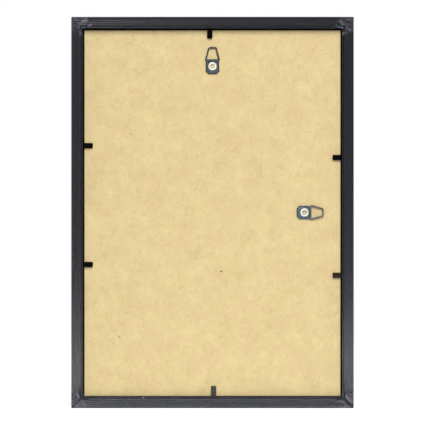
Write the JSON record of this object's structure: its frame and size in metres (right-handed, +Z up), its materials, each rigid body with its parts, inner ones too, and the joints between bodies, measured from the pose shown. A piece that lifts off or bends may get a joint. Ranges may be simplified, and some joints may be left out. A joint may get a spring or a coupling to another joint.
{
  "type": "picture frame",
  "caption": "Slim rectangular picture frame with mitred rebated rails, glazed front, hardboard back held by bendable points, and riveted strap hangers for upright or sideways hanging.",
  "frame": {"origin": "on the underside of the bottom rail, at half its length and half its depth: the middle of the edge that the frame stands on", "axes": "+Z up; +Y from the back of the frame to its front; +X to the right as seen from the back"},
  "size_m": [0.231, 0.015, 0.32],
  "materials": {
    "moulding": "satin black extruded moulding with fine lengthwise lines",
    "nail_steel": "bright rolled steel, dulled",
    "pane": "clear, polished",
    "sheet": "plain, uncoated",
    "hardboard": "pale tan pressed fibre, smooth side out",
    "point_steel": "black lacquered soft steel strip",
    "strap_steel": "blue-grey zinc plated",
    "loop_wire": "dark zinc plated wire",
    "eyelet_nickel": "bright nickel plated"
  },
  "bodies": {
    "frame": {"rail_top": "moulding", "rail_bottom": "moulding", "rail_left": "moulding", "rail_right": "moulding", "v_nail_top_left_outer": "nail_steel", "v_nail_top_left_inner": "nail_steel", "v_nail_top_right_outer": "nail_steel", "v_nail_top_right_inner": "nail_steel", "v_nail_bottom_left_outer": "nail_steel", "v_nail_bottom_left_inner": "nail_steel", "v_nail_bottom_right_outer": "nail_steel", "v_nail_bottom_right_inner": "nail_steel", "glazing": "pane", "insert_sheet": "sheet", "back_board": "hardboard", "point_tang_top": "point_steel", "point_tang_bottom": "point_steel", "point_tang_left_upper": "point_steel", "point_tang_left_lower": "point_steel", "point_tang_right_upper": "point_steel", "point_tang_right_lower": "point_steel", "top_hanger_eyelet": "eyelet_nickel", "side_hanger_eyelet": "eyelet_nickel"},
    "point_top": {"point_blade_top": "point_steel"},
    "point_bottom": {"point_blade_bottom": "point_steel"},
    "point_left_upper": {"point_blade_left_upper": "point_steel"},
    "point_left_lower": {"point_blade_left_lower": "point_steel"},
    "point_right_upper": {"point_blade_right_upper": "point_steel"},
    "point_right_lower": {"point_blade_right_lower": "point_steel"},
    "top_strap": {"top_hanger_strap": "strap_steel"},
    "top_loop": {"top_hanger_loop": "loop_wire"},
    "side_strap": {"side_hanger_strap": "strap_steel"},
    "side_loop": {"side_hanger_loop": "loop_wire"}
  },
  "joints": [
    {"name": "point_top_bend", "type": "hinge", "parent": "frame", "child": "point_top", "pos_m": [-0.0022, -0.00387, 0.30975], "axis": [-1, 0, 0], "range_deg": [0, 85]},
    {"name": "point_bottom_bend", "type": "hinge", "parent": "frame", "child": "point_bottom", "pos_m": [0.0009, -0.00387, 0.01025], "axis": [1, 0, 0], "range_deg": [0, 85]},
    {"name": "point_left_upper_bend", "type": "hinge", "parent": "frame", "child": "point_left_upper", "pos_m": [-0.10525, -0.00387, 0.2147], "axis": [0, 0, -1], "range_deg": [0, 85]},
    {"name": "point_left_lower_bend", "type": "hinge", "parent": "frame", "child": "point_left_lower", "pos_m": [-0.10525, -0.00387, 0.1174], "axis": [0, 0, -1], "range_deg": [0, 85]},
    {"name": "point_right_upper_bend", "type": "hinge", "parent": "frame", "child": "point_right_upper", "pos_m": [0.10525, -0.00387, 0.205], "axis": [0, 0, 1], "range_deg": [0, 85]},
    {"name": "point_right_lower_bend", "type": "hinge", "parent": "frame", "child": "point_right_lower", "pos_m": [0.10525, -0.00387, 0.1086], "axis": [0, 0, 1], "range_deg": [0, 85]},
    {"name": "top_hanger_swivel", "type": "hinge", "parent": "frame", "child": "top_strap", "pos_m": [0, -0.003, 0.27975], "axis": [0, -1, 0], "range_deg": [-90, 90]},
    {"name": "top_loop_swing", "type": "hinge", "parent": "top_strap", "child": "top_loop", "pos_m": [0, -0.00365, 0.28435], "axis": [1, 0, 0], "range_deg": [-2, 150]},
    {"name": "side_hanger_swivel", "type": "hinge", "parent": "frame", "child": "side_strap", "pos_m": [0.0754, -0.003, 0.16], "axis": [0, -1, 0], "range_deg": [-90, 90]},
    {"name": "side_loop_swing", "type": "hinge", "parent": "side_strap", "child": "side_loop", "pos_m": [0.08, -0.00365, 0.16], "axis": [0, 0, -1], "range_deg": [-2, 150]}
  ]
}
